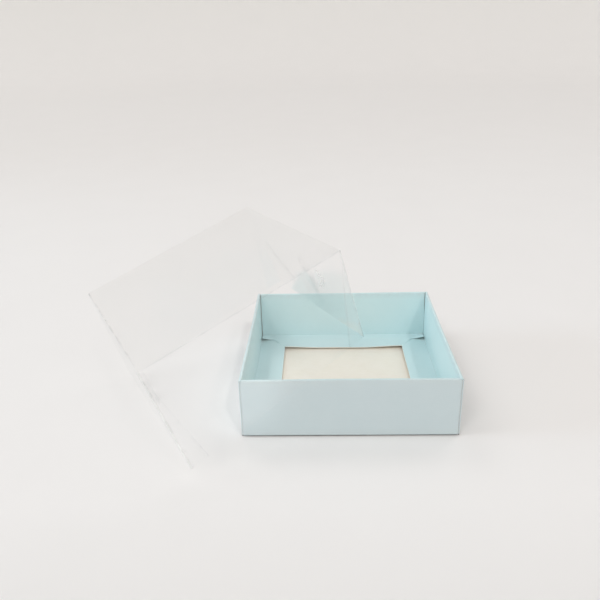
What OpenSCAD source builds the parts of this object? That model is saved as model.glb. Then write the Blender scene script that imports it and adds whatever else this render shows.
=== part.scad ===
// Favor box: a shallow tray folded from one sheet of board, with double walls and four sprung floor
// flanges, and a clear folded cover that leans on it. Millimetres, +Z up, origin at the middle of the
// tray's underside.

/* [Tray] */
// Outer width of the tray, left to right
tray_w = 100; // [80:1:150]
// Outer depth of the tray, front to back
tray_d = 100; // [80:1:150]
// Height of the tray's walls
tray_h = 30; // [20:1:40]
// Thickness of the board
board = 0.45; // [0.35:0.05:0.6]
// Inner radius of every fold in the board
fold_in = 0.15; // [0.1:0.01:0.16]

/* [Corner tabs] */
// Length of the tabs that lie between the two boards of the side walls
tab_len = 14; // [6:0.5:30]
// Taper of a tab's free end, top and bottom
tab_taper = 3; // [0:0.5:6]
// Clearance on each face of a tab
tab_play = 0.03; // [0.02:0.01:0.1]
// How far the side walls' ends stop short of the front and back faces
end_setback = 0.3; // [0.1:0.05:0.6]

/* [Floor flanges] */
// Width of the flanges that fold in over the base
flange_w = 14.5; // [9:0.5:22]
// Height of the side flanges' crease over the base
side_crease_up = 0.8; // [0.5:0.05:1]
// Angle by which the side flanges spring up, in degrees
side_rise = 3; // [2:0.5:7]
// Angle by which the front and back flanges spring up, in degrees
end_rise = 0.5; // [0:0.5:5]
// Depth that the front and back flanges keep at their clipped ends
ear_d = 5.5; // [3:0.5:8]
// Length of those clipped ends, along the wall
ear_len = 7; // [3:0.5:8]
// Gap between a side flange and the flange that lies over its end
stack_gap = 0.3; // [0.2:0.05:1]
// Gap between a flange or wall and the wall beside its end
corner_gap = 0.4; // [0.2:0.05:0.8]
// Slant of the side flanges' ends
side_slant = 6; // [0:0.5:8]
// Clearance of a crease that bends
crease_play = 0.12; // [0.08:0.01:0.3]

/* [Clear cover] */
// Outer height of the cover
cover_h = 50; // [35:1:80]
// Thickness of the clear film
film = 0.3; // [0.2:0.05:0.5]
// Inner radius of the cover's creases
crease_in = 0.2; // [0.1:0.05:0.4]
// Clearance between the tray and the cover when it is on
cover_play = 0.45; // [0.2:0.05:1]
// Width of the glue flaps at the cover's rim
flap_w = 9.5; // [5:0.5:16]
// Width of the glue flaps at their top
flap_top_w = 1.5; // [0.5:0.1:4]
// Distance from the cover's top to the top of a glue flap
flap_drop = 8; // [3:0.5:14]
// Clearance between a glue flap and the wall that it is bonded to
flap_play = 0.03; // [0.02:0.01:0.1]

/* [Where the cover leans] */
// Distance from the tray's left face to the cover corner on the table
lean_out = 68; // [62:0.5:72]
// Distance of that corner behind the middle of the tray
lean_back = 6.5; // [3:0.5:9]
// Distance from the tray's back face to where the cover's rim crosses the left wall
rest_in = 3; // [1.5:0.5:6]
// Clearance under the cover where it rests
rest_gap = 0.45; // [0.35:0.05:0.8]

/* [Hidden] */

// Sides in turn from the front, anticlockwise seen from above
SIDES = ["front", "right", "back", "left"];
quarter = 90;
half_turn = 180;
arc_steps = 32;

// Folds and double walls
fold_r = fold_in + board;
cavity = board + 2 * tab_play;
wall_t = 2 * board + cavity;
tab_fold_x = tray_w / 2 - board - tab_play - fold_r;
side_outer_len = tray_d - 2 * end_setback;
side_inner_len = tray_d - 2 * (fold_r + tab_play);
end_inner_len = tray_w - 2 * (wall_t + corner_gap);

// Creases of the floor flanges, given at the flange's top face
side_crease_z = 2 * board + side_crease_up;
side_tip_z = side_crease_z + flange_w * sin(side_rise);
tip_lift = (corner_gap + side_slant) * sin(end_rise);
end_crease_z = max(side_crease_z, side_tip_z - tip_lift) + stack_gap + board;

// Cover, in its own frame: origin in the middle of the rim plane, closed top up
cover_w = tray_w + 2 * (cover_play + film);
cover_d = tray_d + 2 * (cover_play + film);
crease_r = crease_in + film;
flap_fold_y = cover_d / 2 - film - flap_play - crease_r;

// Colours
blue = [0.71, 0.84, 0.87];
blue_shade = [0.64, 0.79, 0.82];
cream = [0.88, 0.87, 0.82];
clear = [0.9, 0.94, 0.96, 0.3];

function is_end(side) = side == "front" || side == "back";
function reach(side, w, d) = (is_end(side) ? d : w) / 2;
function side_turn(side) = quarter * search([side], SIDES)[0];

// The rim of the cover crosses three places: the table, the left wall's edge and the front wall's edge
rest_z = tray_h + rest_gap;
foot = [-tray_w / 2 - lean_out, lean_back, rest_gap / 2];
left_rest = [-tray_w / 2, tray_d / 2 - rest_in, rest_z];
lean_x = (left_rest - foot) / norm(left_rest - foot);
front_dy = -tray_d / 2 - foot.y;
front_dz = rest_z - foot.z;
along = front_dy * lean_x.y + front_dz * lean_x.z;
square_left = front_dy * front_dy + front_dz * front_dz - along * along - cover_d * cover_d;
flat_share = 1 - lean_x.x * lean_x.x;
root = sqrt(lean_x.x * lean_x.x * along * along - flat_share * square_left);
front_dx = (lean_x.x * along + root) / flat_share;
to_front = [front_dx, front_dy, front_dz];
across = (to_front * lean_x) * lean_x - to_front;
lean_y = across / norm(across);
lean_z = cross(lean_x, lean_y);
cover_at = foot + lean_x * cover_w / 2 - lean_y * cover_d / 2;
cover_turn = [
  atan2(lean_y.z, lean_z.z),
  -asin(lean_x.z),
  atan2(lean_x.y, lean_x.x)
];

// A frame on one side: X runs along the wall, Y goes inward from its outer face
module at_side(side, w, d) {
  rotate(side_turn(side))
    translate([0, -reach(side, w, d), 0])
      children();
}

// Extrudes a profile drawn in (inward, up) along a wall
module along_wall(length) {
  rotate([quarter, 0, quarter])
    linear_extrude(height = length, center = true)
      children();
}

// A fold seen from its end: a quarter of a ring in the first quadrant
module fold_ring(outer, inner) {
  difference() {
    intersection() {
      circle(r = outer, $fn = arc_steps);
      square(outer);
    }
    circle(r = inner, $fn = arc_steps);
  }
}

// Tray base, which shows its uncoated reverse through the flanges
module base_panel() {
  color(cream)
    linear_extrude(board)
      square([tray_w - 2 * fold_r, tray_d - 2 * fold_r], center = true);
}

// Outer wall with the fold that joins it to the base
module outer_wall(side) {
  length = is_end(side) ? 2 * tab_fold_x : side_outer_len;
  color(blue)
    at_side(side, tray_w, tray_d)
      along_wall(length) {
        translate([0, fold_r])
          square([board, tray_h - 2 * fold_r]);
        translate([fold_r, fold_r])
          rotate(half_turn)
            fold_ring(fold_r, fold_in);
      }
}

module front_outer_wall() { outer_wall("front"); }
module right_outer_wall() { outer_wall("right"); }
module back_outer_wall() { outer_wall("back"); }
module left_outer_wall() { outer_wall("left"); }

// Rim: the narrow panel between two folds at the top of a double wall
module rim_fold(side) {
  length = is_end(side) ? tray_w - 2 * wall_t : side_outer_len;
  color(blue)
    at_side(side, tray_w, tray_d)
      along_wall(length) {
        translate([fold_r, tray_h - fold_r])
          rotate(quarter)
            fold_ring(fold_r, fold_in);
        translate([fold_r, tray_h - board])
          square([wall_t - 2 * fold_r, board]);
        translate([wall_t - fold_r, tray_h - fold_r])
          fold_ring(fold_r, fold_in);
      }
}

module front_rim_fold() { rim_fold("front"); }
module right_rim_fold() { rim_fold("right"); }
module back_rim_fold() { rim_fold("back"); }
module left_rim_fold() { rim_fold("left"); }

// Inner wall, from the rim down to the crease of its flange
module inner_wall(side) {
  length = is_end(side) ? end_inner_len : side_inner_len;
  foot_z = (is_end(side) ? end_crease_z : side_crease_z) + crease_play;
  color(blue_shade)
    at_side(side, tray_w, tray_d)
      along_wall(length)
        translate([wall_t - board, foot_z])
          square([board, tray_h - fold_r - foot_z]);
}

module front_inner_wall() { inner_wall("front"); }
module right_inner_wall() { inner_wall("right"); }
module back_inner_wall() { inner_wall("back"); }
module left_inner_wall() { inner_wall("left"); }

// Turns a flange, drawn flat with its top face at crease_z, up about its crease
module sprung(crease_z, rise) {
  axis_z = crease_z + crease_play / 2;
  translate([0, wall_t, axis_z])
    rotate([rise, 0, 0])
      translate([0, 0, -crease_play / 2 - board])
        linear_extrude(board)
          children();
}

// Front and back flanges lie over the side flanges: their ends are clipped, then cut slanting to the
// window's corners
module end_flange(side) {
  half = end_inner_len / 2;
  window = tray_w / 2 - wall_t - flange_w;
  color(blue)
    at_side(side, tray_w, tray_d)
      sprung(end_crease_z, end_rise)
        polygon([
          [-half, -board], [half, -board], [half, ear_d], [half - ear_len, ear_d],
          [window, flange_w], [-window, flange_w], [ear_len - half, ear_d], [-half, ear_d]
        ]);
}

// Side flanges run nearly the whole depth, under the ends of the other two
module side_flange(side) {
  half = tray_d / 2 - wall_t - corner_gap;
  color(blue)
    at_side(side, tray_w, tray_d)
      sprung(side_crease_z, side_rise)
        polygon([
          [-half, -board], [half, -board],
          [half - side_slant, flange_w], [side_slant - half, flange_w]
        ]);
}

module front_flange() { end_flange("front"); }
module right_flange() { side_flange("right"); }
module back_flange() { end_flange("back"); }
module left_flange() { side_flange("left"); }

// Corner tab at the right-hand end of the front or back wall: it turns the corner and lies inside
// the double side wall
module corner_tab(side, hand) {
  low = fold_r;
  high = tray_h - fold_r;
  color(blue_shade)
    at_side(side, tray_w, tray_d)
      mirror([hand < 0 ? 1 : 0, 0, 0]) {
        translate([tab_fold_x, fold_r, low])
          linear_extrude(high - low)
            rotate(-quarter)
              fold_ring(fold_r, fold_in);
        translate([tab_fold_x + fold_in, 0, 0])
          rotate([quarter, 0, quarter])
            linear_extrude(board)
              polygon([
                [fold_r, low], [fold_r + tab_len, low + tab_taper],
                [fold_r + tab_len, high - tab_taper], [fold_r, high]
              ]);
      }
}

module front_left_tab() { corner_tab("front", -1); }
module front_right_tab() { corner_tab("front", 1); }
module back_left_tab() { corner_tab("back", 1); }
module back_right_tab() { corner_tab("back", -1); }

// Places a piece drawn in the cover's own frame where the cover leans
module on_cover() {
  color(clear)
    translate(cover_at)
      rotate(cover_turn)
        children();
}

module cover_top() {
  on_cover()
    translate([0, 0, cover_h - film])
      linear_extrude(film)
        square([cover_w - 2 * crease_r, cover_d - 2 * crease_r], center = true);
}

// Wall of the cover with the crease that joins it to the top
module cover_wall(side) {
  length = is_end(side) ? cover_w - 2 * flap_play : 2 * flap_fold_y;
  on_cover()
    at_side(side, cover_w, cover_d)
      along_wall(length) {
        square([film, cover_h - crease_r]);
        translate([crease_r, cover_h - crease_r])
          rotate(quarter)
            fold_ring(crease_r, crease_in);
      }
}

module cover_front_wall() { cover_wall("front"); }
module cover_right_wall() { cover_wall("right"); }
module cover_back_wall() { cover_wall("back"); }
module cover_left_wall() { cover_wall("left"); }

// Tapered glue flap at the right-hand end of a side wall, bonded inside the front or back wall
module glue_flap(side, hand) {
  top = cover_h - flap_drop;
  on_cover()
    at_side(side, cover_w, cover_d)
      mirror([hand < 0 ? 1 : 0, 0, 0]) {
        translate([flap_fold_y, crease_r, 0])
          linear_extrude(cover_h - crease_r)
            rotate(-quarter)
              fold_ring(crease_r, crease_in);
        translate([flap_fold_y + crease_in, 0, 0])
          rotate([quarter, 0, quarter])
            linear_extrude(film)
              polygon([[crease_r, 0], [flap_w, 0], [flap_top_w, top], [crease_r, top]]);
      }
}

module cover_front_left_flap() { glue_flap("left", 1); }
module cover_front_right_flap() { glue_flap("right", -1); }
module cover_back_left_flap() { glue_flap("left", -1); }
module cover_back_right_flap() { glue_flap("right", 1); }

base_panel();
front_outer_wall();
right_outer_wall();
back_outer_wall();
left_outer_wall();
front_rim_fold();
right_rim_fold();
back_rim_fold();
left_rim_fold();
front_inner_wall();
right_inner_wall();
back_inner_wall();
left_inner_wall();
front_flange();
right_flange();
back_flange();
left_flange();
front_left_tab();
front_right_tab();
back_left_tab();
back_right_tab();
cover_top();
cover_front_wall();
cover_right_wall();
cover_back_wall();
cover_left_wall();
cover_front_left_flap();
cover_front_right_flap();
cover_back_left_flap();
cover_back_right_flap();
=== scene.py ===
import math

import bpy
from mathutils import Matrix, Vector, noise


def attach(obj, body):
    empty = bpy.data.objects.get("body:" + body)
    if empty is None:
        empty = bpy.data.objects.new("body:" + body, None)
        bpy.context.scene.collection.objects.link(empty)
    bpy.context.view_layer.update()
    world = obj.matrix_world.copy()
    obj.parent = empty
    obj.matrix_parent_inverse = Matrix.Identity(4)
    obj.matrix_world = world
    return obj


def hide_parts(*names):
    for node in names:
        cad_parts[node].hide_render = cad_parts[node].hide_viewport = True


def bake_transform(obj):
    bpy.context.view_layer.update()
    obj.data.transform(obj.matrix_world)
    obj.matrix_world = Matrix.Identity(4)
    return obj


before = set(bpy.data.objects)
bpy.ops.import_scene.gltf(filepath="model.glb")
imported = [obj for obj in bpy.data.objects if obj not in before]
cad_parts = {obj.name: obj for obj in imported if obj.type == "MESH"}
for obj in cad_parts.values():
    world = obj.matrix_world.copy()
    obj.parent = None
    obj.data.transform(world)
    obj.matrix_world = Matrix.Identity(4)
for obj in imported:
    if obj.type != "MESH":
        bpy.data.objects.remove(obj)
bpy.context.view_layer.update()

# Sizes of the box in millimetres, the same as in the CAD source
MM = 0.001
TRAY = 100
TRAY_H = 30
BOARD = 0.45
FOLD_IN = 0.15
FOLD_R = FOLD_IN + BOARD
TAB_PLAY = 0.03
WALL_T = 3 * BOARD + 2 * TAB_PLAY
TAB_FOLD_X = TRAY / 2 - BOARD - TAB_PLAY - FOLD_R
END_SETBACK = 0.3
SIDE_OUTER = TRAY / 2 - END_SETBACK
SIDE_INNER = TRAY / 2 - FOLD_R - TAB_PLAY
CORNER_GAP = 0.4
END_INNER = TRAY / 2 - WALL_T - CORNER_GAP
TAB_LEN = 14
TAB_TAPER = 3
FLANGE_W = 14.5
SIDE_RISE = 3
END_RISE = 0.5
EAR_D = 5.5
EAR_LEN = 7
SIDE_SLANT = 6
STACK_GAP = 0.3
CREASE_PLAY = 0.12
SIDE_CREASE_UP = 0.8
SIDE_CREASE = 2 * BOARD + SIDE_CREASE_UP
SIDE_TIP = SIDE_CREASE + FLANGE_W * math.sin(math.radians(SIDE_RISE))
TIP_LIFT = (CORNER_GAP + SIDE_SLANT) * math.sin(math.radians(END_RISE))
END_CREASE = SIDE_TIP - TIP_LIFT + STACK_GAP + BOARD

# Sizes of the clear cover, then the place where it rests and its turns about x, y and z in degrees
COVER = 101.5
COVER_H = 50
FILM = 0.3
CREASE_IN = 0.2
CREASE_R = CREASE_IN + FILM
FLAP_PLAY = 0.03
FLAP_FOLD = COVER / 2 - FILM - FLAP_PLAY - CREASE_R
FLAP_W = 9.5
FLAP_TOP_W = 1.5
FLAP_SHORT = 8
FLAP_TOP = COVER_H - FLAP_SHORT
COVER_AT = (-52.4276, -13.3756, 21.5873)
COVER_TURN = (-3.93914, -20.9011, 30.7775)

SIDES = ("front", "right", "back", "left")

# Steps of each rounded fold, and the distance under which two places count as one
ARC_STEPS = 8
MERGE = 0.01


def clamp(value, low=0.0, high=1.0):
    """The value, kept within its limits."""
    return max(low, min(high, value))


def soft_step(low, high, value):
    """From 0 at low to 1 at high, without a kink."""
    t = clamp((value - low) / (high - low))
    return t * t * (3 - 2 * t)


def is_end(side):
    return side in ("front", "back")


def on_side(side, reach, x, inward, z):
    """A point of a panel, drawn along the front side, moved to another side."""
    turn = Matrix.Rotation(math.radians(90 * SIDES.index(side)), 3, "Z")
    return turn @ Vector((x, inward - reach, z))


def arc(centre, radius, start, end):
    """Points (inward, up) of an arc, in degrees, both ends included."""
    points = []
    for step in range(ARC_STEPS + 1):
        turn = math.radians(start + (end - start) * step / ARC_STEPS)
        points.append((centre[0] + radius * math.cos(turn), centre[1] + radius * math.sin(turn)))
    return points


def between(start, end, steps):
    """Points of a line, without its two ends."""
    return [
        tuple(a + (b - a) * step / steps for a, b in zip(start, end))
        for step in range(1, steps)
    ]


def spaced(half, step, fine=(0, 1, 2.5, 5)):
    """Places from one end of a panel to the other, close together near the ends."""
    inner = half - fine[-1]
    count = max(2, round(2 * inner / step))
    low = [-half + f for f in fine[:-1]]
    middle = [-inner + 2 * inner * i / count for i in range(count + 1)]
    return low + middle + [half - f for f in reversed(fine[:-1])]


# Place of the face of an edge that is pressed thin: -1 is the reverse and 1 the full thickness
PRESSED_THIN = -0.35

# The kinds of surface of a sheet, in the order of its materials: its outer face, its reverse,
# the cut edges with their coating and the bare ones that show the core
FACE, BACK, EDGE, BARE_EDGE = range(4)

# Neighbouring faces that turn by more than this, in degrees, meet in a sharp edge
SHARP_FROM = 50


class Sheet:
    """A folded sheet: patches of points, welded where they meet, that get a thickness at the end."""

    def __init__(self):
        self.points = []
        self.folds = []
        self.marks = []
        self.quads = []
        self.bare = set()
        self.pressed = set()
        self.found = {}

    def add_point(self, point, fold, mark):
        key = tuple(round(c, 3) for c in point)
        if key not in self.found:
            self.found[key] = len(self.points)
            self.points.append(Vector(point))
            self.folds.append(fold)
            self.marks.append(mark)
        index = self.found[key]
        self.folds[index] = max(self.folds[index], fold)
        return index

    def patch(self, rows, folds=None, marks=None, bare=False, pressed=None):
        """Adds a grid of points; its outer face is on the side where rows climb and columns run right.
        Folds has 1 where the sheet is folded. Marks has 1 on the tray's outside, which gets a painted
        greyer cast, and on glued film, and 2 on the tray's foot, which gets a painted contact shadow.
        Bare is true where the last row is a cut edge that shows the board's core, and pressed tells
        which points lie on an edge that is pressed thin: pressed(row, column) is true there."""
        folds = folds or [0.0] * len(rows)
        marks = marks or [0.0] * len(rows)
        grid = [
            [self.add_point(p, folds[i][j] if isinstance(folds[i], list) else folds[i], marks[i])
             for j, p in enumerate(row)]
            for i, row in enumerate(rows)
        ]
        for low, high in zip(grid, grid[1:]):
            for j in range(len(low) - 1):
                quad = (low[j], low[j + 1], high[j + 1], high[j])
                if len(set(quad)) == 4:
                    self.quads.append(quad)
        if bare:
            self.bare.update(grid[-1])
        if pressed:
            self.pressed.update(
                index for i, row in enumerate(grid) for j, index in enumerate(row) if pressed(i, j)
            )

    def build(self, name, thickness, materials, warp=None):
        """Makes the mesh, with a material for each kind of surface."""
        points = [warp(p) for p in self.points] if warp else self.points
        normals = [Vector() for _ in points]
        for a, b, c, d in self.quads:
            normal = (points[c] - points[a]).cross(points[d] - points[b])
            for corner in (a, b, c, d):
                normals[corner] += normal
        half = thickness / 2
        lift = [half * (PRESSED_THIN if i in self.pressed else 1) for i in range(len(points))]
        outer = [p + n.normalized() * h for p, n, h in zip(points, normals, lift)]
        inner = [p - n.normalized() * half for p, n in zip(points, normals)]
        count = len(points)
        ways = {(q[k], q[(k + 1) % 4]) for q in self.quads for k in range(4)}
        rims = [(a, b) for a, b in ways if (b, a) not in ways]
        faces = list(self.quads)
        faces += [tuple(count + c for c in reversed(q)) for q in self.quads]
        faces += [(b, a, count + a, count + b) for a, b in rims]
        kinds = [FACE] * len(self.quads) + [BACK] * len(self.quads)
        kinds += [BARE_EDGE if {a, b} <= self.bare else EDGE for a, b in rims]
        mesh = bpy.data.meshes.new(name)
        mesh.from_pydata([p * MM for p in outer + inner], [], faces)
        for surface in materials:
            mesh.materials.append(surface)
        mesh.polygons.foreach_set("material_index", kinds)
        mesh.polygons.foreach_set("use_smooth", [True] * len(faces))
        across = [0.0] * count + [1.0] * count
        masks = {"fold": self.folds * 2, "mark": self.marks * 2, "across": across}
        for mask, values in masks.items():
            mesh.attributes.new(mask, "FLOAT", "POINT").data.foreach_set("value", values)
        mesh.set_sharp_from_angle(angle=math.radians(SHARP_FROM))
        piece = bpy.data.objects.new(name, mesh)
        bpy.context.scene.collection.objects.link(piece)
        return piece


# Nodes: short ways to make and join them


def add(tree, kind, **settings):
    made = tree.nodes.new(kind)
    for name, value in settings.items():
        setattr(made, name, value)
    return made


def feed(tree, target, socket, source):
    """Puts a number, a colour or another node's output into a socket."""
    if isinstance(source, bpy.types.NodeSocket):
        tree.links.new(source, target.inputs[socket])
    else:
        target.inputs[socket].default_value = source


def calc(tree, operation, first, second=0.0, limit=False):
    """Joins two values by a math operation; with a limit the result stays between 0 and 1."""
    made = add(tree, "ShaderNodeMath", operation=operation, use_clamp=limit)
    feed(tree, made, 0, first)
    feed(tree, made, 1, second)
    return made.outputs[0]


def joined(tree, first, first_share, second, second_share):
    """The sum of two values, each times its share."""
    one = calc(tree, "MULTIPLY", first, first_share)
    other = calc(tree, "MULTIPLY", second, second_share)
    return calc(tree, "ADD", one, other)


def mixed(tree, share, first, second):
    """The first colour, with a share of the second one in its place."""
    made = add(tree, "ShaderNodeMix", data_type="RGBA")
    feed(tree, made, 0, share)
    feed(tree, made, 6, first)
    feed(tree, made, 7, second)
    return made.outputs[2]


def spread(tree, source, low, high, new_low=0.0, new_high=1.0):
    """Takes the values from low to high to a new range, and stays within that."""
    made = add(tree, "ShaderNodeMapRange")
    for socket, value in enumerate((source, low, high, new_low, new_high)):
        feed(tree, made, socket, value)
    return made.outputs[0]


def cloud(tree, place, size, detail=3.0, stretch=(1, 1, 1)):
    """Noise with patches about size millimetres wide."""
    mapping = add(tree, "ShaderNodeMapping")
    feed(tree, mapping, "Vector", place)
    feed(tree, mapping, "Scale", stretch)
    made = add(tree, "ShaderNodeTexNoise")
    feed(tree, made, "Vector", mapping.outputs[0])
    feed(tree, made, "Scale", 1 / (size * MM))
    feed(tree, made, "Detail", detail)
    return made.outputs[0]


def effect(name, inputs, outputs):
    """An empty shared effect with its sockets."""
    tree = bpy.data.node_groups.new(name, "ShaderNodeTree")
    for socket, kind, value in inputs:
        made = tree.interface.new_socket(socket, in_out="INPUT", socket_type=kind)
        made.default_value = value
    for socket, kind in outputs:
        tree.interface.new_socket(socket, in_out="OUTPUT", socket_type=kind)
    return tree, add(tree, "NodeGroupInput").outputs, add(tree, "NodeGroupOutput")


FLOAT = "NodeSocketFloat"


def make_fibre():
    """Paper fibre: a tone for the colour and a height for the bump."""
    tree, given, out = effect(
        "paper fibre", [("Amount", FLOAT, 1.0)], [("Tone", FLOAT), ("Height", FLOAT)]
    )
    place = add(tree, "ShaderNodeTexCoord").outputs["Object"]
    mottle = cloud(tree, place, size=9, detail=4.0)
    strands = cloud(tree, place, size=0.9, detail=5.0, stretch=(0.35, 1, 1))
    grain = cloud(tree, place, size=0.3, detail=2.0)
    both = joined(tree, mottle, 0.5, strands, 0.5)
    centred = calc(tree, "MULTIPLY", calc(tree, "SUBTRACT", both, 0.5), given["Amount"])
    feed(tree, out, "Tone", calc(tree, "ADD", centred, 0.5))
    feed(tree, out, "Height", joined(tree, strands, 0.7, grain, 0.3))
    return tree


def make_fold_wear():
    """Where a fold has stretched the board's coating, broken up along the fold."""
    tree, given, out = effect("fold wear", [("Amount", FLOAT, 1.0)], [("Mask", FLOAT)])
    place = add(tree, "ShaderNodeTexCoord").outputs["Object"]
    fold = add(tree, "ShaderNodeAttribute", attribute_name="fold").outputs["Fac"]
    broken = spread(tree, cloud(tree, place, size=2.2, detail=4.0), 0.3, 0.7)
    mask = calc(tree, "MULTIPLY", fold, calc(tree, "ADD", calc(tree, "MULTIPLY", broken, 0.7), 0.3))
    feed(tree, out, "Mask", calc(tree, "MULTIPLY", mask, given["Amount"], limit=True))
    return tree


# Width of the smudges that hands leave, in millimetres
SMUDGE_SIZE = 26


def make_handling():
    """Faint smudges and dust from handling."""
    tree, given, out = effect("handling", [("Amount", FLOAT, 1.0)], [("Smudge", FLOAT), ("Dust", FLOAT)])
    place = add(tree, "ShaderNodeTexCoord").outputs["Object"]
    smudge = spread(tree, cloud(tree, place, size=SMUDGE_SIZE, detail=2.0), 0.45, 0.75)
    dust = spread(tree, cloud(tree, place, size=0.8, detail=1.0), 0.74, 0.82)
    feed(tree, out, "Smudge", calc(tree, "MULTIPLY", smudge, given["Amount"]))
    feed(tree, out, "Dust", calc(tree, "MULTIPLY", dust, given["Amount"]))
    return tree


FIBRE = make_fibre()
FOLD_WEAR = make_fold_wear()
HANDLING = make_handling()


def material(name):
    """A new material with its tree and its one shader."""
    made = bpy.data.materials.new(name)
    made.use_nodes = True
    tree = made.node_tree
    shader = tree.nodes["Principled BSDF"]
    return made, tree, shader


def use(tree, group, **inputs):
    """Places a shared effect in a material and gives its outputs."""
    made = add(tree, "ShaderNodeGroup", node_tree=group)
    for socket, value in inputs.items():
        feed(tree, made, socket, value)
    return made.outputs


def bump(tree, shader, height, depth, strength):
    """Gives the surface a relief, its depth in millimetres."""
    made = add(tree, "ShaderNodeBump")
    feed(tree, made, "Strength", strength)
    feed(tree, made, "Distance", depth * MM)
    feed(tree, made, "Height", height)
    feed(tree, shader, "Normal", made.outputs[0])


# Colours: the coated face inside the tray and outside it, with a painted greyer cast outside, its
# worn folds, the painted contact shadow on its foot, the uncoated reverse, and a bare cut edge's core
BLUE = (0.633, 0.827, 0.847, 1)
BLUE_LIGHT = (0.713, 0.871, 0.886, 1)
# Painted light: the same blue coating outside the tray, made greyer and paler to stand in for a difference
# in light
OUTER_PAINTED_CAST = (0.52, 0.599, 0.629, 1)
OUTER_PAINTED_CAST_LIGHT = (0.574, 0.636, 0.661, 1)
WORN = (0.60, 0.68, 0.69, 1)
# Painted shade: the contact shadow under the tray's walls, painted dark into the foot's colour
PAINTED_CONTACT_SHADE = (0.13, 0.15, 0.155, 1)
CREAM = (0.96, 0.908, 0.825, 1)
CREAM_DEEP = (0.897, 0.835, 0.731, 1)
CORE = (0.95, 0.94, 0.90, 1)


def make_coated_face():
    """The coated face: light blue inside the tray, a painted greyer cast outside it and a painted contact
    shadow on its foot.
    """
    made, tree, shader = material("coated_face")
    fibre = use(tree, FIBRE, Amount=0.8)
    wear = use(tree, FOLD_WEAR, Amount=0.5)["Mask"]
    handling = use(tree, HANDLING, Amount=0.25)
    outside_cast_and_foot_shade = add(tree, "ShaderNodeAttribute", attribute_name="mark").outputs["Fac"]
    # The outer colour is painted light, a greyer copy of the one blue coating
    inner = mixed(tree, fibre["Tone"], BLUE, BLUE_LIGHT)
    outer = mixed(tree, fibre["Tone"], OUTER_PAINTED_CAST, OUTER_PAINTED_CAST_LIGHT)
    board = mixed(tree, calc(tree, "MINIMUM", outside_cast_and_foot_shade, 1.0), inner, outer)
    # Painted contact shadow on the foot, where the mark is 2
    painted_contact_shade = spread(tree, outside_cast_and_foot_shade, 1.0, 2.0)
    feed(tree, shader, "Base Color", mixed(tree, painted_contact_shade, mixed(tree, wear, board, WORN), PAINTED_CONTACT_SHADE))
    feed(tree, shader, "Roughness", spread(tree, handling["Smudge"], 0.0, 1.0, 0.36, 0.55))
    bump(tree, shader, fibre["Height"], depth=0.02, strength=0.5)
    return made


def make_reverse():
    """The board's uncoated cream reverse."""
    made, tree, shader = material("uncoated_reverse")
    fibre = use(tree, FIBRE, Amount=1.6)
    dust = use(tree, HANDLING, Amount=0.6)["Dust"]
    colour = mixed(tree, fibre["Tone"], CREAM_DEEP, CREAM)
    feed(tree, shader, "Base Color", mixed(tree, dust, colour, CREAM_DEEP))
    feed(tree, shader, "Roughness", 0.85)
    feed(tree, shader, "Specular IOR Level", 0.2)
    bump(tree, shader, fibre["Height"], depth=0.04, strength=0.7)
    return made


def make_cut_board():
    """A bare cut edge: the core, with a thin blue line where the coated face ends."""
    made, tree, shader = material("cut_board")
    fibre = use(tree, FIBRE, Amount=1.5)
    across = add(tree, "ShaderNodeAttribute", attribute_name="across").outputs["Fac"]
    skin = spread(tree, across, 0.05, 0.15)
    core = mixed(tree, fibre["Tone"], CREAM, CORE)
    feed(tree, shader, "Base Color", mixed(tree, skin, BLUE, core))
    feed(tree, shader, "Roughness", 0.8)
    bump(tree, shader, fibre["Height"], depth=0.05, strength=0.8)
    return made


# The film: its refraction, how much its two faces mirror beside one, how clearly glue and
# smudges show on it, how much of it is left in its shadow, and its roughness where clean and dull
FILM_IOR = 1.45
TWO_FACES = 1.4
GLUE_SHOWS = 0.012
SMUDGES_SHOW = 0.012
IN_SHADOW = 0.45
FILM_ROUGHNESS = (0.14, 0.3)
CLEAN_TINT = (0.97, 0.98, 0.98, 1)


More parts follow.
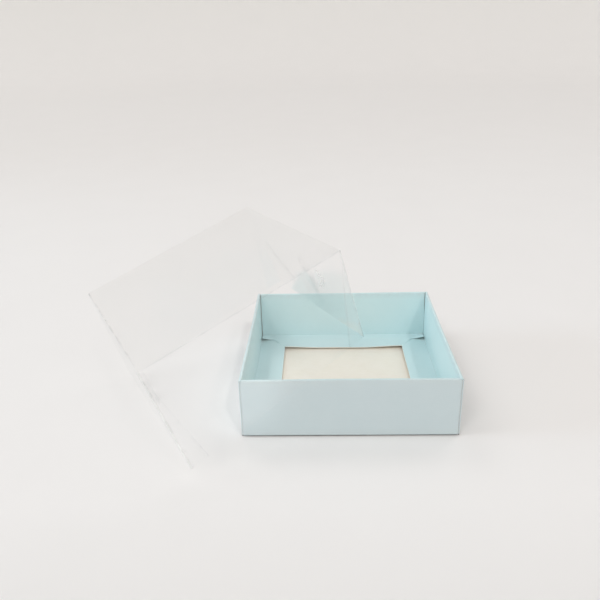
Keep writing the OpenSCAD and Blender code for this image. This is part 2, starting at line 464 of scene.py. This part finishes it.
def make_film(name, haze, folded, tint):
    """Clear film: a weak mirror over what is behind it, stronger where it is folded, glued or cut."""
    made, tree, shader = material(name)
    feed(tree, shader, "Metallic", 1.0)
    handling = use(tree, HANDLING, Amount=1.0)
    fold = add(tree, "ShaderNodeAttribute", attribute_name="fold").outputs["Fac"]
    glue = add(tree, "ShaderNodeAttribute", attribute_name="mark").outputs["Fac"]
    place = add(tree, "ShaderNodeTexCoord").outputs["Object"]
    broken = spread(tree, cloud(tree, place, size=6, detail=3.0), 0.42, 0.58)
    line = calc(tree, "MULTIPLY", fold, calc(tree, "ADD", calc(tree, "MULTIPLY", broken, 0.85), 0.15))
    mirror = add(tree, "ShaderNodeFresnel")
    feed(tree, mirror, "IOR", FILM_IOR)
    both_faces = calc(tree, "MULTIPLY", mirror.outputs[0], TWO_FACES)
    cover = calc(tree, "ADD", both_faces, haze)
    cover = calc(tree, "ADD", cover, calc(tree, "MULTIPLY", line, folded))
    cover = calc(tree, "ADD", cover, calc(tree, "MULTIPLY", glue, GLUE_SHOWS))
    cover = calc(tree, "ADD", cover, calc(tree, "MULTIPLY", handling["Smudge"], SMUDGES_SHOW), limit=True)
    shadow = add(tree, "ShaderNodeLightPath").outputs["Is Shadow Ray"]
    behind = add(tree, "ShaderNodeNewGeometry").outputs["Backfacing"]
    seen = calc(tree, "MULTIPLY", cover, calc(tree, "SUBTRACT", 1.0, behind))
    share = spread(tree, shadow, 0.0, 1.0, 1.0, IN_SHADOW)
    feed(tree, shader, "Alpha", calc(tree, "MULTIPLY", seen, share))
    feed(tree, shader, "Base Color", mixed(tree, line, CLEAN_TINT, tint))
    patches = spread(tree, cloud(tree, place, size=SMUDGE_SIZE, detail=2.0), 0.2, 0.95, 0.0, 0.4)
    dull = calc(tree, "ADD", patches, calc(tree, "MULTIPLY", fold, 1.2), limit=True)
    feed(tree, shader, "Roughness", spread(tree, dull, 0.0, 1.0, *FILM_ROUGHNESS))
    return made


COATED = make_coated_face()
REVERSE = make_reverse()
CUT = make_cut_board()
BOARD_FACES = (COATED, REVERSE, COATED, CUT)
CLEAR = make_film("clear_film", haze=0.004, folded=0.22, tint=(0.4, 0.42, 0.43, 1))
CLEAR_CUT = make_film("clear_film_cut", haze=0.25, folded=0.0, tint=(0.6, 0.62, 0.63, 1))
FILM_FACES = (CLEAR, CLEAR, CLEAR_CUT, CLEAR_CUT)


# The tray's board

# How far the base's bow lifts the lower edges off the table, where along the base and up to which
# height it does so, and how high the painted contact shadow on the lower fold reaches, in millimetres
EDGE_LIFT = 0.45
LIFT_FROM = (28, 49)
LIFT_BELOW = (0.3, 1.7)
PAINTED_SHADE_H = 0.58

# Bow of the side walls and the end walls, their uneven ripple and the pitch that it follows, and
# how far from the tray's middle the bow sets in
SIDE_BOW = 0.35
END_BOW = 0.3
RIPPLE = 0.12
RIPPLE_PITCH = 0.05
BOW_FROM = (40, 49)


def tray_warp(point):
    """Slight bow of the walls and the base, the same for every piece at one place, so that none meet."""
    x, y, z = point
    high = clamp(z / TRAY_H)
    along_y = math.cos(math.pi * clamp(y / TRAY, -0.5, 0.5))
    along_x = math.cos(math.pi * clamp(x / TRAY, -0.5, 0.5))
    near_x = soft_step(*BOW_FROM, abs(x))
    near_y = soft_step(*BOW_FROM, abs(y))
    dx = -math.copysign(SIDE_BOW, x) * near_x * high * along_y
    dy = -math.copysign(END_BOW, y) * near_y * high * along_x
    ripple = RIPPLE * noise.noise(Vector((x, y, 0)) * RIPPLE_PITCH) * high
    lift = EDGE_LIFT * soft_step(*LIFT_FROM, max(abs(x), abs(y))) * (1 - soft_step(*LIFT_BELOW, z))
    return Vector((x + dx + ripple * near_x, y + dy + ripple * near_y, z + lift))


# Rows of points up each layer of a wall
WALL_ROWS = 7


def wall_path(foot):
    """The wall's middle line, (inward, up), from the base over the rim to the inner wall's foot."""
    mid = BOARD / 2
    fold = FOLD_R - mid
    top = TRAY_H - FOLD_R
    path = arc((FOLD_R, FOLD_R), fold, 270, 180)
    folds = [1.0] * len(path)
    rise = between(path[-1], (mid, top), WALL_ROWS)
    first = arc((FOLD_R, top), fold, 180, 90)
    second = arc((WALL_T - FOLD_R, top), fold, 90, 0)
    drop = between(second[-1], (WALL_T - mid, foot), WALL_ROWS)
    path += rise + first + second + drop + [(WALL_T - mid, foot)]
    folds += [0.0] * len(rise) + [1.0] * (len(first) + len(second)) + [0.0] * (len(drop) + 1)
    return path, folds


# How much of the gap at the back right corner the back wall's inner layer closes low down, and
# between which heights it opens again
CORNER_MEETS = 0.3
OPEN_ABOVE = (17, 24)


def build_wall(side):
    """A double wall: its outer layer, the narrow rim and its inner layer."""
    if is_end(side):
        foot = END_CREASE + CREASE_PLAY
        outer, rim, inner = TAB_FOLD_X, TRAY / 2 - WALL_T, END_INNER
    else:
        foot = SIDE_CREASE + CREASE_PLAY
        outer, rim, inner = SIDE_OUTER, SIDE_OUTER, SIDE_INNER
    path, folds = wall_path(foot)
    shares = [t / outer for t in spaced(outer, 4)]
    rows = []
    for inward, up in path:
        if up < TRAY_H - FOLD_R and inward < BOARD:
            half = outer
        elif inward > WALL_T - FOLD_R:
            half = rim + (inner - rim) * clamp((TRAY_H - up) / FOLD_R)
        else:
            half = outer + (rim - outer) * clamp((up - TRAY_H + FOLD_R) / (FOLD_R - BOARD / 2))
        meets = 0.0
        if side == "back" and inward > WALL_T - FOLD_R:
            meets = CORNER_MEETS * (1 - soft_step(*OPEN_ABOVE, up))
        rows.append([on_side(side, TRAY / 2, s * (half + meets * (s < 0)), inward, up) for s in shares])
    # Mark 2 paints the contact shadow on the foot; towards the outside, mark 1 paints the greyer cast
    outside_cast_and_foot_shade = [2.0 if up < PAINTED_SHADE_H else soft_step(WALL_T / 2, 0, inward) for inward, up in path]
    sheet = Sheet()
    sheet.patch(rows, folds, outside_cast_and_foot_shade)
    piece = sheet.build(side + "_wall_board", BOARD, BOARD_FACES, warp=tray_warp)
    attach(piece, "tray")
    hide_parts(side + "_outer_wall", side + "_rim_fold", side + "_inner_wall")


# Rows of points along a corner tab and up it
TAB_STEPS = 5
TAB_LEVELS = 8


def build_tab(side, hand, name):
    """Corner tab: it turns the tray's corner and lies inside the double side wall."""
    mid = BOARD / 2
    plane = TAB_FOLD_X + FOLD_IN + mid
    line = arc((TAB_FOLD_X, FOLD_R), FOLD_R - mid, 270, 360)
    folds = [1.0] * len(line)
    reach = [0.0] * len(line)
    for step in range(1, TAB_STEPS + 1):
        line.append((plane, FOLD_R + TAB_LEN * step / TAB_STEPS))
        folds.append(0.0)
        reach.append(step / TAB_STEPS)
    rows = []
    for level in range(TAB_LEVELS + 1):
        row = []
        for (x, inward), share in zip(line, reach):
            low = FOLD_R + TAB_TAPER * share
            high = TRAY_H - low
            up = low + (high - low) * level / TAB_LEVELS
            row.append(on_side(side, TRAY / 2, hand * x, inward, up))
        rows.append(row if hand > 0 else row[::-1])
    sheet = Sheet()
    sheet.patch(rows, [folds if hand > 0 else folds[::-1]] * len(rows), [1.0] * len(rows))
    piece = sheet.build(name + "_tab_board", BOARD, BOARD_FACES, warp=tray_warp)
    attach(piece, "tray")
    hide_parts(name + "_tab")


def build_base():
    """The floor; its reverse is the upper face, which shows between the flanges."""
    half = TRAY / 2 - FOLD_R
    places = spaced(half, 6)
    rows = [[Vector((x, -y, BOARD / 2)) for x in places] for y in places]
    sheet = Sheet()
    sheet.patch(rows, marks=[1.0] * len(rows))
    piece = sheet.build("base_board", BOARD, BOARD_FACES, warp=tray_warp)
    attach(piece, "tray")
    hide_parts("base_panel")


# How far the middle of each flange's free edge hangs down towards the base, in millimetres, and
# how that fades along the edge to the share that is left near its ends
SAG = {"front": 1.0, "right": 0.1, "back": 1.15, "left": 0.08}
SAG_FADES = (12, 34)
SAG_LEFT = 0.3

# How uneven the sag is along the edge, and the pitch that it follows
SAG_WAVE = 0.35
SAG_PITCH = 0.035

# How near the ends of the side flanges press up to the ears over them, how far from the crease
# that sets in, how it fades along the flange, and how fast the ears' clipped sides run out
PRESSED_GAP = 0.06
PRESS_REACH = (1.0, 8.0)
PRESS_FADES = (14, 1.5)
EAR_CLIP = 1.25

# How far the ears of the end flanges curl up at their tips, beside the side walls
EAR_CURL = 0.95

# The flange's crease: its inner radius, and how far past its centre the flange bends
BEND_IN = 0.1

# Places of a flange's rows of points: along its ears, and from its crease to its free edge
EAR_PLACES = (1, 2, 3.5, 5.2, EAR_LEN)
NEAR_ROWS = [0.3, 0.8, 2, 3.6, EAR_D]
FAR_ROWS = [7, 9, 11, 12.8, 13.8]


def flange_half(side, depth, length):
    """Half the flange's length at a depth from its crease."""
    if not is_end(side):
        return TRAY / 2 - WALL_T - CORNER_GAP - SIDE_SLANT * depth / length
    if depth <= EAR_D:
        return END_INNER
    window = TRAY / 2 - WALL_T - FLANGE_W
    shoulder = END_INNER - EAR_LEN
    return shoulder + (window - shoulder) * (depth - EAR_D) / (length - EAR_D)


def build_flange(side):
    """Floor flange with the crease that joins it to the inner wall, where it bends."""
    end = is_end(side)
    crease, rise = (END_CREASE, END_RISE) if end else (SIDE_CREASE, SIDE_RISE)
    mid = BOARD / 2
    bend = mid + BEND_IN
    centre = (WALL_T - mid + bend, crease - mid + bend)
    slope = math.radians(rise)
    turn = arc(centre, bend, 180, 270 + rise)
    length = (WALL_T + FLANGE_W * math.cos(slope) - turn[-1][0]) / math.cos(slope)
    half_wall = flange_half(side, 0, length)
    shoulder = half_wall - EAR_LEN
    inner = [t / shoulder for t in spaced(shoulder, 4, fine=(0, 1.5, 3.5))]
    ear = [t / EAR_LEN for t in EAR_PLACES]
    number = SIDES.index(side)
    sheet = Sheet()

    def press(x, depth):
        """How far a side flange's end rises to the end flange that lies over it."""
        under = END_CREASE - BOARD - PRESSED_GAP
        top = SIDE_CREASE + depth * math.sin(slope)
        covered = END_INNER - EAR_D - max(0, depth - EAR_LEN) * EAR_CLIP
        first, last = (covered - fade for fade in PRESS_FADES)
        return (under - top) * soft_step(*PRESS_REACH, depth) * soft_step(first, last, abs(x))

    def lift(x, depth):
        """How far a place of the flange lies over its plane."""
        wave = 1 + SAG_WAVE * noise.noise(Vector((x * SAG_PITCH, number * 5, 1)))
        middle = 1 - (1 - SAG_LEFT) * soft_step(*SAG_FADES, abs(x))
        sag = SAG[side] * soft_step(0.3, 1.0, clamp(depth / length)) * wave * middle
        if not end:
            return press(x, depth) - sag
        tip = soft_step(END_INNER - EAR_LEN, END_INNER, abs(x)) ** 2
        return EAR_CURL * tip * soft_step(0.5, EAR_D, depth) - sag

    def place(x, depth):
        inward = turn[-1][0] + depth * math.cos(slope)
        up = turn[-1][1] + depth * math.sin(slope) + lift(x, depth)
        return on_side(side, TRAY / 2, x, inward, up)

    def spread_row(half):
        """Places along a row: the ears, then what lies between them."""
        if half <= shoulder:
            return [s * half for s in inner]
        low = [-half + (half - shoulder) * (1 - e) for e in reversed(ear)]
        return low + [s * shoulder for s in inner] + [-x for x in reversed(low)]

    base = spread_row(half_wall)
    rows = [[on_side(side, TRAY / 2, x, inward, up) for x in base] for inward, up in turn]
    folds = [1.0] * len(rows)
    far = FAR_ROWS + [length]
    if end:
        rows += [[place(x, depth) for x in base] for depth in NEAR_ROWS]
        clipped = [abs(x) > shoulder - MERGE for x in base]
        last = len(rows) - 1
        sheet.patch(rows, folds + [0.0] * len(NEAR_ROWS), pressed=lambda i, j: i == last and clipped[j])
        tongue = [[place(s * shoulder, EAR_D) for s in inner]]
        tongue += [[place(s * flange_half(side, depth, length), depth) for s in inner] for depth in far]
        ends = (0, len(inner) - 1)
        sheet.patch(tongue, bare=True, pressed=lambda i, j: j in ends and i < len(far))
    else:
        for depth in NEAR_ROWS + far:
            share = flange_half(side, depth, length) / half_wall
            rows.append([place(x * share, depth) for x in base])
        sheet.patch(rows, folds + [0.0] * len(NEAR_ROWS + far), bare=True)
    piece = sheet.build(side + "_flange_board", BOARD, BOARD_FACES)
    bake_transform(piece)
    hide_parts(side + "_flange")


# The clear cover


def cover_place():
    """Where the cover rests, as in the CAD source."""
    turn = [math.radians(a) for a in COVER_TURN]
    spin = (
        Matrix.Rotation(turn[2], 4, "Z")
        @ Matrix.Rotation(turn[1], 4, "Y")
        @ Matrix.Rotation(turn[0], 4, "X")
    )
    return Matrix.Translation(Vector(COVER_AT)) @ spin


# How far each corner of the soft cover is bent out of the square, in millimetres across the
# table, away from the camera and up: by its sides and whether it is at the closed top or the rim
BENT_CORNERS = {
    ("left", "front", "top"): (3.6, 1.1, 2.6),
    ("left", "back", "top"): (2.6, 2.5, 4.5),
    ("right", "front", "top"): (0, 0, -2.5),
    ("right", "front", "rim"): (-6, 0, 0),
    ("left", "front", "rim"): (1.5, 0, 0),
}

# How clearly each crease of the film shows: the top's four creases, then the four corners
CREASE_SHOWS = {"front": 0.45, "right": 0.2, "back": 0.1, "left": 0.5}
CORNER_SHOWS = {
    ("left", 1): 0.65,
    ("right", -1): 0.6,
    ("left", -1): 0.25,
    ("right", 1): 0.12,
}

# Buckles in the film's right wall: two ends (along the wall, up), width, depth, how they show
WIDTH, DEPTH, SHOWS = 2, 3, 4
BUCKLES = (
    ((42, 26), (22, 11), 6.0, 0, 0.3),
    ((-4, 28), (-12, 15), 9.0, 0.3, 0.5),
    ((-18, 28), (-23, 24.5), 3.0, 0.06, 0.8),
    ((-23, 24.5), (-17, 19), 3.0, 0.06, 0.8),
)


def from_segment(place, start, end):
    """Distance of a place on a wall from a line between two others."""
    line = Vector(end) - Vector(start)
    off = Vector(place) - Vector(start)
    share = clamp(off.dot(line) / line.length_squared)
    return (off - line * share).length


def buckle(x, y, z, trait):
    """How deep the buckles press the right wall in, or how they show there."""
    if x < COVER / 2 - CREASE_R:
        return 0.0
    return max(
        entry[trait] * (1 - soft_step(0, entry[WIDTH], from_segment((y, z), *entry[:WIDTH])))
        for entry in BUCKLES
    )


# The crumpled top of the cover's front left corner: its lower end, how it spreads, how it shows
CRUMPLE_FOOT = 36
CRUMPLE_REACH = (1.5, 6.5)
CRUMPLE_SHOWS = 0.6


def crumple(x, y, z):
    """How the crumpled corner shows at a place on the film."""
    corner = -COVER / 2
    off = Vector((x - corner, y - corner, min(0, z - CRUMPLE_FOOT)))
    return CRUMPLE_SHOWS * (1 - soft_step(*CRUMPLE_REACH, off.length))


def bent(point):
    """The place of a point once the cover's corners are bent."""
    x, y, z = point
    right = clamp(x / COVER + 0.5)
    back = clamp(y / COVER + 0.5)
    top = clamp(z / COVER_H)
    shares = {"left": 1 - right, "front": 1 - back, "rim": 1 - top}
    shares.update({"right": right, "back": back, "top": top})
    move = Vector()
    for (side, end, level), corner in BENT_CORNERS.items():
        move += Vector(corner) * shares[side] * shares[end] * shares[level]
    return cover_place() @ Vector(point) + move


# How far the film's walls wave and its top sags, in millimetres, the pitches that these follow, and
# how far in from a wall or the top they set in and are whole
WALL_WAVE = 0.7
WAVE_PITCH = (0.03, 0.03, 0.05)
WAVE_NEAR = (8, 1)
TOP_SAG = 0.25
TOP_PITCH = 0.035
SAG_NEAR = (6, 1)


def film_warp(point):
    """Soft warps of the film, the same for layers that lie on each other."""
    x, y, z = point
    first, last = (COVER / 2 - near for near in WAVE_NEAR)
    near_x = soft_step(first, last, abs(x))
    near_y = soft_step(first, last, abs(y))
    flat_x = math.cos(math.pi * clamp(x / COVER, -0.5, 0.5))
    flat_y = math.cos(math.pi * clamp(y / COVER, -0.5, 0.5))
    up = soft_step(0, COVER_H, z)
    wave = noise.noise(Vector([place * pitch for place, pitch in zip(point, WAVE_PITCH)]))
    dx = math.copysign(WALL_WAVE, x) * near_x * flat_y * wave * (1 - up * up)
    dy = math.copysign(WALL_WAVE, y) * near_y * flat_x * wave * (1 - up * up)
    first, last = (COVER_H - near for near in SAG_NEAR)
    top = soft_step(first, last, z)
    sag = TOP_SAG * top * flat_x * flat_y * noise.noise(Vector((x * TOP_PITCH, y * TOP_PITCH, 7)))
    return bent((x + dx - buckle(x, y, z, DEPTH), y + dy, z + sag))


# The film's middle, the radius of its creases there, and half the flat part of its top
FILM_MID = FILM / 2
FILM_CREASE = CREASE_R - FILM_MID
TOP_HALF = COVER / 2 - CREASE_R

# Rows of points up the cover's walls: at the rim, between, and how far below the top crease
RIM_ROWS = [0, 0.6, 1.6, 3.5]
MIDDLE_ROWS = 22
TOP_ROWS = (1.6, 0.5, 0)

# Columns of points across a glue flap, its width above its taper, and how clearly its edge shows
# beside its corner
FLAP_STEPS = 4
FLAP_REST = CREASE_R + 0.2
FLAP_EDGE_SHOWS = 0.8


def cover_levels():
    """The heights of the rows of points in the cover's walls and flaps."""
    crease = COVER_H - CREASE_R
    first = RIM_ROWS[-1]
    middle = [first + (crease - 2 * first) * i / MIDDLE_ROWS for i in range(1, MIDDLE_ROWS + 1)]
    return RIM_ROWS + middle + [crease - below for below in TOP_ROWS]


def add_cover_wall(sheet, side, shares):
    """A wall of the cover, with the crease that joins it to the top."""
    wall_half = COVER / 2 - FLAP_PLAY if is_end(side) else FLAP_FOLD
    rows = [[on_side(side, COVER / 2, s * wall_half, FILM_MID, z) for s in shares] for z in cover_levels()]
    folds = [[max(buckle(*point, SHOWS), crumple(*point)) for point in row] for row in rows]
    crease = arc((CREASE_R, COVER_H - CREASE_R), FILM_CREASE, 180, 90)
    for step, (inward, z) in enumerate(crease[1:]):
        half = wall_half + (TOP_HALF - wall_half) * (step + 1) / ARC_STEPS
        rows.append([on_side(side, COVER / 2, s * half, inward, z) for s in shares])
        folds.append(CREASE_SHOWS[side])
    sheet.patch(rows, folds)


def add_glue_flap(sheet, side, hand):
    """A tapered flap, bonded inside an end wall, with the corner that joins it to its side wall."""
    corner = arc((FLAP_FOLD, CREASE_R), FILM_CREASE, 270, 360)
    plane = corner[-1][0]
    shows = CORNER_SHOWS[side, hand]
    fold = [shows] * len(corner) + [0.0] * (FLAP_STEPS - 1) + [shows * FLAP_EDGE_SHOWS]
    rows = []
    for z in cover_levels():
        width = FLAP_W + (FLAP_TOP_W - FLAP_W) * z / FLAP_TOP if z <= FLAP_TOP else FLAP_REST
        reach = [(width - CREASE_R) * step / FLAP_STEPS for step in range(1, FLAP_STEPS + 1)]
        line = corner + [(plane, CREASE_R + along) for along in reach]
        row = [on_side(side, COVER / 2, hand * x, inward, z) for x, inward in line]
        rows.append(row if hand > 0 else row[::-1])
    folds = [fold if hand > 0 else fold[::-1]] * len(rows)
    sheet.patch(rows, folds, [1.0] * len(rows))


def build_cover():
    """The whole cover as one folded sheet of film: closed top, four walls and four glue flaps."""
    shares = [t / TOP_HALF for t in spaced(TOP_HALF, 2, fine=(0, 0.6, 1.6, 3.4, 6))]
    sheet = Sheet()
    for side in SIDES:
        add_cover_wall(sheet, side, shares)
    top = COVER_H - FILM_MID
    sheet.patch([[Vector((s * TOP_HALF, t * TOP_HALF, top)) for s in shares] for t in shares])
    for side in ("right", "left"):
        for hand in (1, -1):
            add_glue_flap(sheet, side, hand)
    piece = sheet.build("cover_film", FILM, FILM_FACES, warp=film_warp)
    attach(piece, "cover")
    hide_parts(*[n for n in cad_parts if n.startswith("cover_")])


build_base()
for side in SIDES:
    build_wall(side)
    build_flange(side)
build_tab("front", -1, "front_left")
build_tab("front", 1, "front_right")
build_tab("back", 1, "back_left")
build_tab("back", -1, "back_right")
build_cover()


# Table, light and camera

# Colours of the table, of the painted shade on its part nearest to the camera, and of the painted shade up
# its sweep behind the box
TABLE = (0.885, 0.866, 0.85, 1)
TABLE_LIGHT = (0.905, 0.886, 0.87, 1)
TABLE_NEAR_PAINTED_SHADE = (0.84, 0.822, 0.805, 1)
BACKDROP_PAINTED_SHADE = (0.855, 0.84, 0.814, 1)

# The table in metres: the rings of its flat part, the radius of its sweep and its steps, the heights
# of the upright part, and where its painted shade sets in towards the camera and up the sweep
TABLE_RINGS = (0.1, 0.3, 0.8, 1.4, 2.0)
SWEEP_R = 0.9
SWEEP_STEPS = 12
UPRIGHT = (1.3, 1.8)
AROUND = 72
NEAR_UNTIL = (-0.15, -0.095)
BACKDROP_FROM = (0.0, 0.4)


def make_pale_table():
    """A smooth pale surface, with painted shade that makes it a little darker near the camera and up the
    sweep.
    """
    made, tree, shader = material("pale_table")
    place = add(tree, "ShaderNodeTexCoord").outputs["Object"]
    tone = mixed(tree, cloud(tree, place, size=60, detail=3.0), TABLE, TABLE_LIGHT)
    axes = add(tree, "ShaderNodeSeparateXYZ")
    feed(tree, axes, 0, place)
    # Painted shade: the table is made darker near the camera, then up the sweep
    tone = mixed(tree, spread(tree, axes.outputs["Y"], *NEAR_UNTIL), TABLE_NEAR_PAINTED_SHADE, tone)
    tone = mixed(tree, spread(tree, axes.outputs["Z"], *BACKDROP_FROM), tone, BACKDROP_PAINTED_SHADE)
    feed(tree, shader, "Base Color", tone)
    feed(tree, shader, "Roughness", 0.7)
    feed(tree, shader, "Specular IOR Level", 0.3)
    return made


def build_table():
    """A round pale table that sweeps up far behind the box."""
    flat_r = TABLE_RINGS[-1]
    profile = [(radius, 0.0) for radius in TABLE_RINGS]
    for step in range(1, SWEEP_STEPS + 1):
        turn = math.pi / 2 * step / SWEEP_STEPS
        profile.append((flat_r + SWEEP_R * math.sin(turn), SWEEP_R - SWEEP_R * math.cos(turn)))
    profile += [(flat_r + SWEEP_R, height) for height in UPRIGHT]
    ways = [2 * math.pi * k / AROUND for k in range(AROUND)]
    points = [(0.0, 0.0, 0.0)]
    for radius, height in profile:
        points += [(radius * math.cos(way), radius * math.sin(way), height) for way in ways]
    faces = [(0, 1 + k, 1 + (k + 1) % AROUND) for k in range(AROUND)]
    for ring in range(len(profile) - 1):
        inner = 1 + ring * AROUND
        outer = inner + AROUND
        for k in range(AROUND):
            after = (k + 1) % AROUND
            faces.append((inner + k, outer + k, outer + after, inner + after))
    mesh = bpy.data.meshes.new("table")
    mesh.from_pydata(points, [], faces)
    mesh.materials.append(make_pale_table())
    mesh.polygons.foreach_set("use_smooth", [True] * len(faces))
    table = bpy.data.objects.new("table", mesh)
    bpy.context.scene.collection.objects.link(table)


# A light no larger than this, in metres, isn't mirrored in the board or the film
SMALL_LIGHT = 0.5


def from_box(azimuth, elevation):
    """The way from the box to a light; azimuth 0 is in front of the box and 90 is to its right."""
    around = math.radians(azimuth)
    up = math.radians(elevation)
    return Vector((math.sin(around) * math.cos(up), -math.cos(around) * math.cos(up), math.sin(up)))


def place_light(light, way, distance, power, colour, target=(0, 0, 0)):
    """Sets a light at a distance in metres from a place in millimetres, and turns it there."""
    light.energy = power
    light.color = colour
    lamp = bpy.data.objects.new(light.name, light)
    lamp.location = Vector(target) * MM + way * distance
    lamp.rotation_mode = "QUATERNION"
    lamp.rotation_quaternion = way.to_track_quat("Z", "Y")
    bpy.context.scene.collection.objects.link(lamp)
    return lamp


def add_light(name, azimuth, elevation, distance, size, power, colour):
    """A round light that faces the box."""
    light = bpy.data.lights.new(name, "AREA")
    light.shape = "DISK"
    light.size = size
    lamp = place_light(light, from_box(azimuth, elevation), distance, power, colour)
    lamp.visible_glossy = size > SMALL_LIGHT


def add_beam(name, target, way, distance, angle, soft, size, power, colour=(1.0, 1.0, 1.0)):
    """A beam of light: its whole angle in degrees, and how much of that is its soft edge."""
    light = bpy.data.lights.new(name, "SPOT")
    light.spot_size = math.radians(angle)
    light.spot_blend = soft
    light.shadow_soft_size = size
    lamp = place_light(light, way, distance, power, colour, target)
    lamp.visible_glossy = False


# Strength of the even light from all around
STUDIO_GLOW = 0.317


def light_world():
    """Even white light from all around the table."""
    world = bpy.data.worlds.new("studio")
    world.use_nodes = True
    sky = world.node_tree.nodes["Background"]
    sky.inputs["Color"].default_value = (1.0, 1.0, 1.0, 1)
    sky.inputs["Strength"].default_value = STUDIO_GLOW
    bpy.context.scene.world = world


# The photograph's camera: place, lens and sensor in millimetres, turns in degrees
CAMERA_AT = Vector((-12.406, -286.984, 171.932))
CAMERA_PITCH = 23.468
CAMERA_YAW = 2.161
CAMERA_ROLL = -1.604
CAMERA_LENS = 37.09
CAMERA_SENSOR = 36


def place_camera():
    """Sets up the photograph's camera: it looks along y, down by its pitch, turned and rolled a little."""
    data = bpy.data.cameras.new("camera")
    data.lens = CAMERA_LENS
    data.sensor_width = CAMERA_SENSOR
    data.clip_start = 0.01
    data.clip_end = 20
    camera = bpy.data.objects.new("camera", data)
    pitch = math.radians(CAMERA_PITCH)
    yaw = Matrix.Rotation(math.radians(CAMERA_YAW), 3, "Z")
    ahead = yaw @ Vector((0, math.cos(pitch), -math.sin(pitch)))
    right = yaw @ Vector((1, 0, 0))
    up = yaw @ Vector((0, math.sin(pitch), math.cos(pitch)))
    roll = math.radians(CAMERA_ROLL)
    across = right * math.cos(roll) + up * math.sin(roll)
    above = up * math.cos(roll) - right * math.sin(roll)
    turn = Matrix((across, above, -ahead)).transposed().to_4x4()
    camera.matrix_world = Matrix.Translation(CAMERA_AT * MM) @ turn
    bpy.context.scene.collection.objects.link(camera)
    bpy.context.scene.camera = camera


build_table()
light_world()

# Studio lights: azimuth and elevation in degrees, distance and size in metres, power in watts
add_light("key_right", 25, 48, 4.0, 0.25, 22.9, (1.0, 0.972, 0.96))
add_light("second_right", 42, 46, 4.0, 0.3, 10.2, (1.0, 0.941, 0.918))
add_light("window_left", -80, 50, 4.0, 1.6, 16.8, (0.988, 1.0, 1.0))
add_light("front_left", -32, 50, 4.0, 1.2, 24.3, (1.0, 0.998, 0.991))
add_light("back_right", 140, 50, 4.0, 1.6, 15.2, (1.0, 0.976, 0.968))
add_light("back_left", -150, 50, 4.0, 1.6, 13.3, (1.0, 1.0, 1.0))
add_beam("low_window_left", (0, 0, 0), from_box(-88, 14), 2.4, 36, 1.0, 0.3, 57.0, (0.64, 0.826, 1.0))

# Stands in for the milky look that the photograph's film gives the tray's front left corner
add_beam("film_glow", (-52, -50, 30), from_box(-11, 37), 1.0, 2.5, 0.25, 0.008, 7.8)

place_camera()
bpy.context.scene.view_settings.view_transform = "Standard"
bpy.context.scene.cycles.transparent_max_bounces = 40
